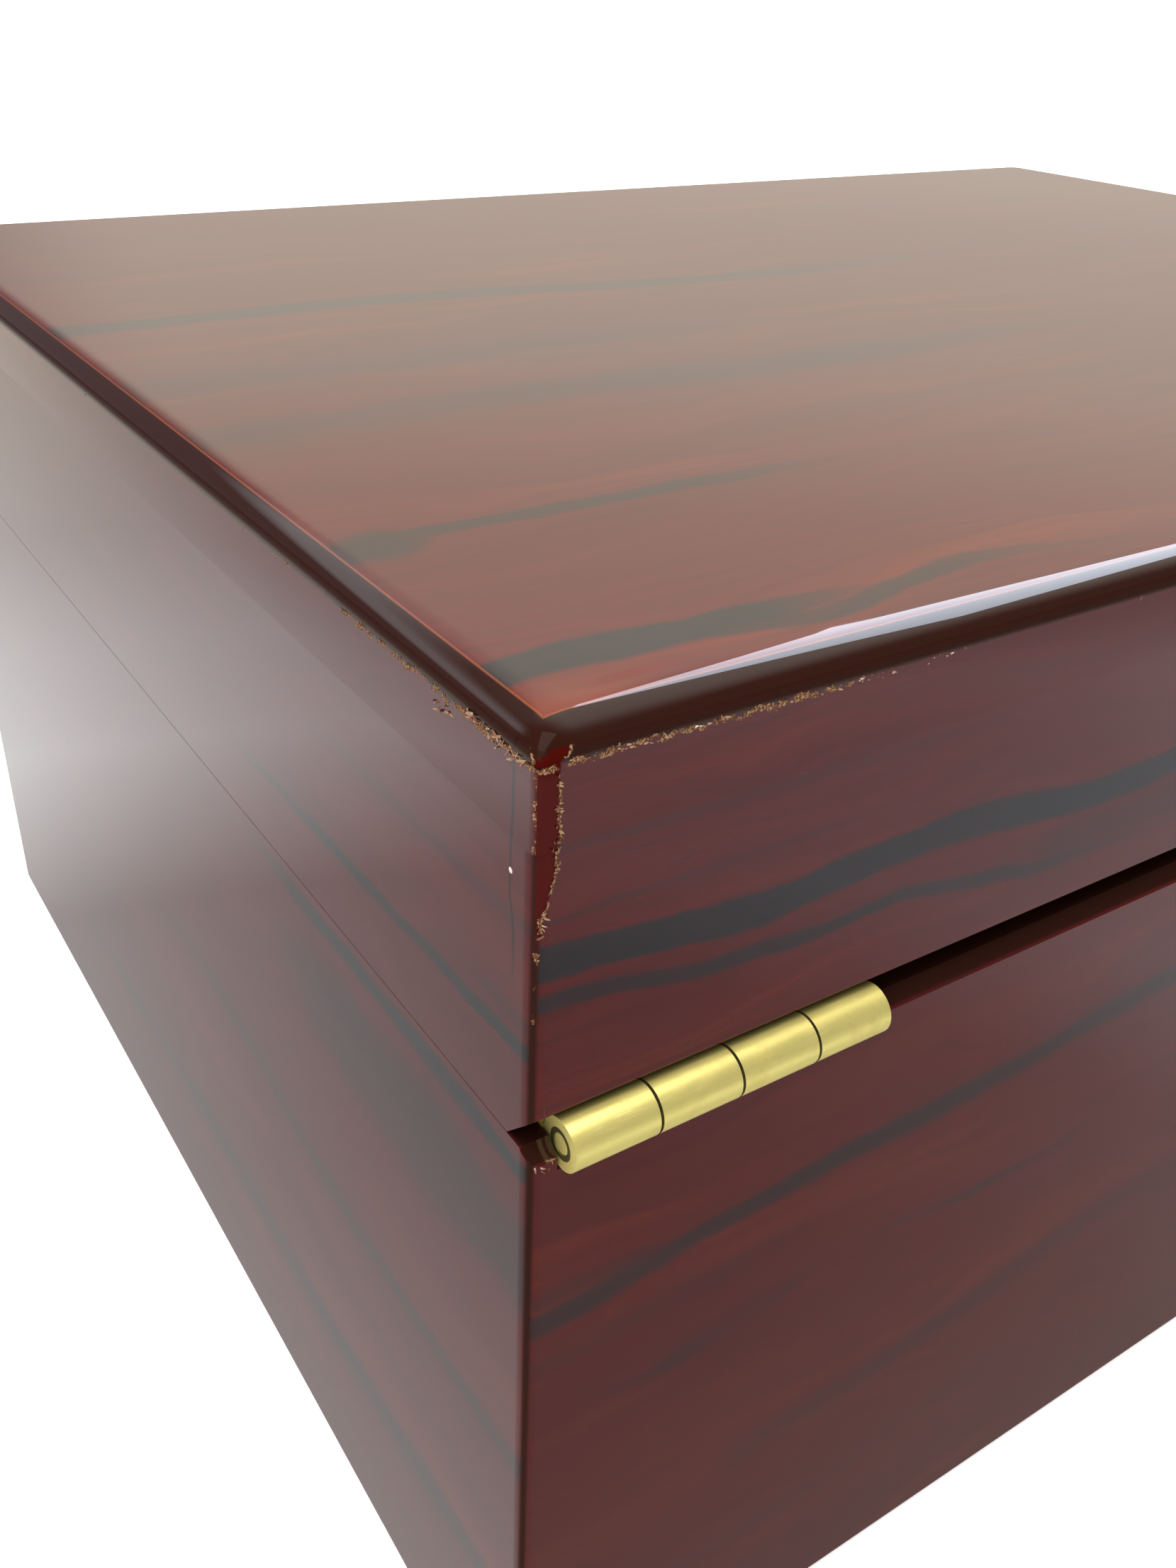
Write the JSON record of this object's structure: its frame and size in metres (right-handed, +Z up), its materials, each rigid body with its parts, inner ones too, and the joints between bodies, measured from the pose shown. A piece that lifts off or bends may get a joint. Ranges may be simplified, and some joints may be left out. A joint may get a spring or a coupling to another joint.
{
  "type": "jewellery chest with drawers",
  "caption": "Lacquered wooden jewellery chest with a hinged lid over a lined compartment, and two drawers with knobs below it.",
  "frame": {"origin": "middle of the felt under the base, on the surface the chest stands on", "axes": "+X to the right as seen from the front, the lid hinges on +Y, the drawers open towards -Y, +Z up"},
  "size_m": [0.29, 0.2496, 0.141],
  "materials": {
    "rosewood": "gloss lacquer over dark streaked veneer",
    "plain_wood": "satin, unstained",
    "velvet": "short pile velvet",
    "felt": "matt felt",
    "brass": "polished, lightly scratched",
    "mirror": "silvered glass"
  },
  "bodies": {
    "chest": {"back_panel": "rosewood", "right_side": "rosewood", "left_side": "rosewood", "front_rail": "rosewood", "base_panel": "rosewood", "base_felt": "felt", "drawer_shelf": "rosewood", "compartment_floor": "plain_wood", "drawer_stops": "plain_wood", "compartment_liner": "velvet", "compartment_dividers": "velvet", "ring_rolls": "velvet", "right_hinge_body_leaf": "brass", "left_hinge_body_leaf": "brass", "hinge_pins": "brass", "body_hinge_screws": "brass", "lock_case": "brass", "lock_screws": "brass", "keyhole_escutcheon": "brass"},
    "lid": {"lid_top": "rosewood", "lid_back": "rosewood", "lid_front": "rosewood", "lid_right": "rosewood", "lid_left": "rosewood", "lid_wall_liner": "velvet", "lid_pad": "velvet", "lid_mirror": "mirror", "right_hinge_lid_leaf": "brass", "left_hinge_lid_leaf": "brass", "lid_hinge_screws": "brass", "lock_link_plate": "brass", "link_plate_screws": "brass"},
    "upper_drawer": {"upper_drawer_front": "rosewood", "upper_drawer_right_side": "plain_wood", "upper_drawer_left_side": "plain_wood", "upper_drawer_back": "plain_wood", "upper_drawer_bottom": "plain_wood", "upper_drawer_liner": "velvet", "upper_drawer_dividers": "velvet", "upper_drawer_knobs": "brass", "upper_drawer_screws": "brass"},
    "lower_drawer": {"lower_drawer_front": "rosewood", "lower_drawer_right_side": "plain_wood", "lower_drawer_left_side": "plain_wood", "lower_drawer_back": "plain_wood", "lower_drawer_bottom": "plain_wood", "lower_drawer_liner": "velvet", "lower_drawer_dividers": "velvet", "lower_drawer_knobs": "brass", "lower_drawer_screws": "brass"},
    "key": {"key": "brass"},
    "lock_bolt": {"lock_bolt": "brass"}
  },
  "joints": [
    {"name": "lid_hinge", "type": "hinge", "parent": "chest", "child": "lid", "pos_m": [0, 0.11, 0.101], "axis": [-1, 0, 0], "range_deg": [0, 95]},
    {"name": "upper_drawer_slide", "type": "slide", "parent": "chest", "child": "upper_drawer", "axis": [0, -1, 0], "range_m": [0, 0.15]},
    {"name": "lower_drawer_slide", "type": "slide", "parent": "chest", "child": "lower_drawer", "axis": [0, -1, 0], "range_m": [0, 0.15]},
    {"name": "key_turn", "type": "hinge", "parent": "chest", "child": "key", "pos_m": [0, -0.11, 0.08585], "axis": [0, 1, 0], "range_deg": [0, 90]},
    {"name": "bolt_slide", "type": "slide", "parent": "chest", "child": "lock_bolt", "axis": [-1, 0, 0], "range_m": [0, 0.005]}
  ],
  "couplings": [
    {"joint": "bolt_slide", "follows": "key_turn", "m_per_rad": 0.00318}
  ]
}
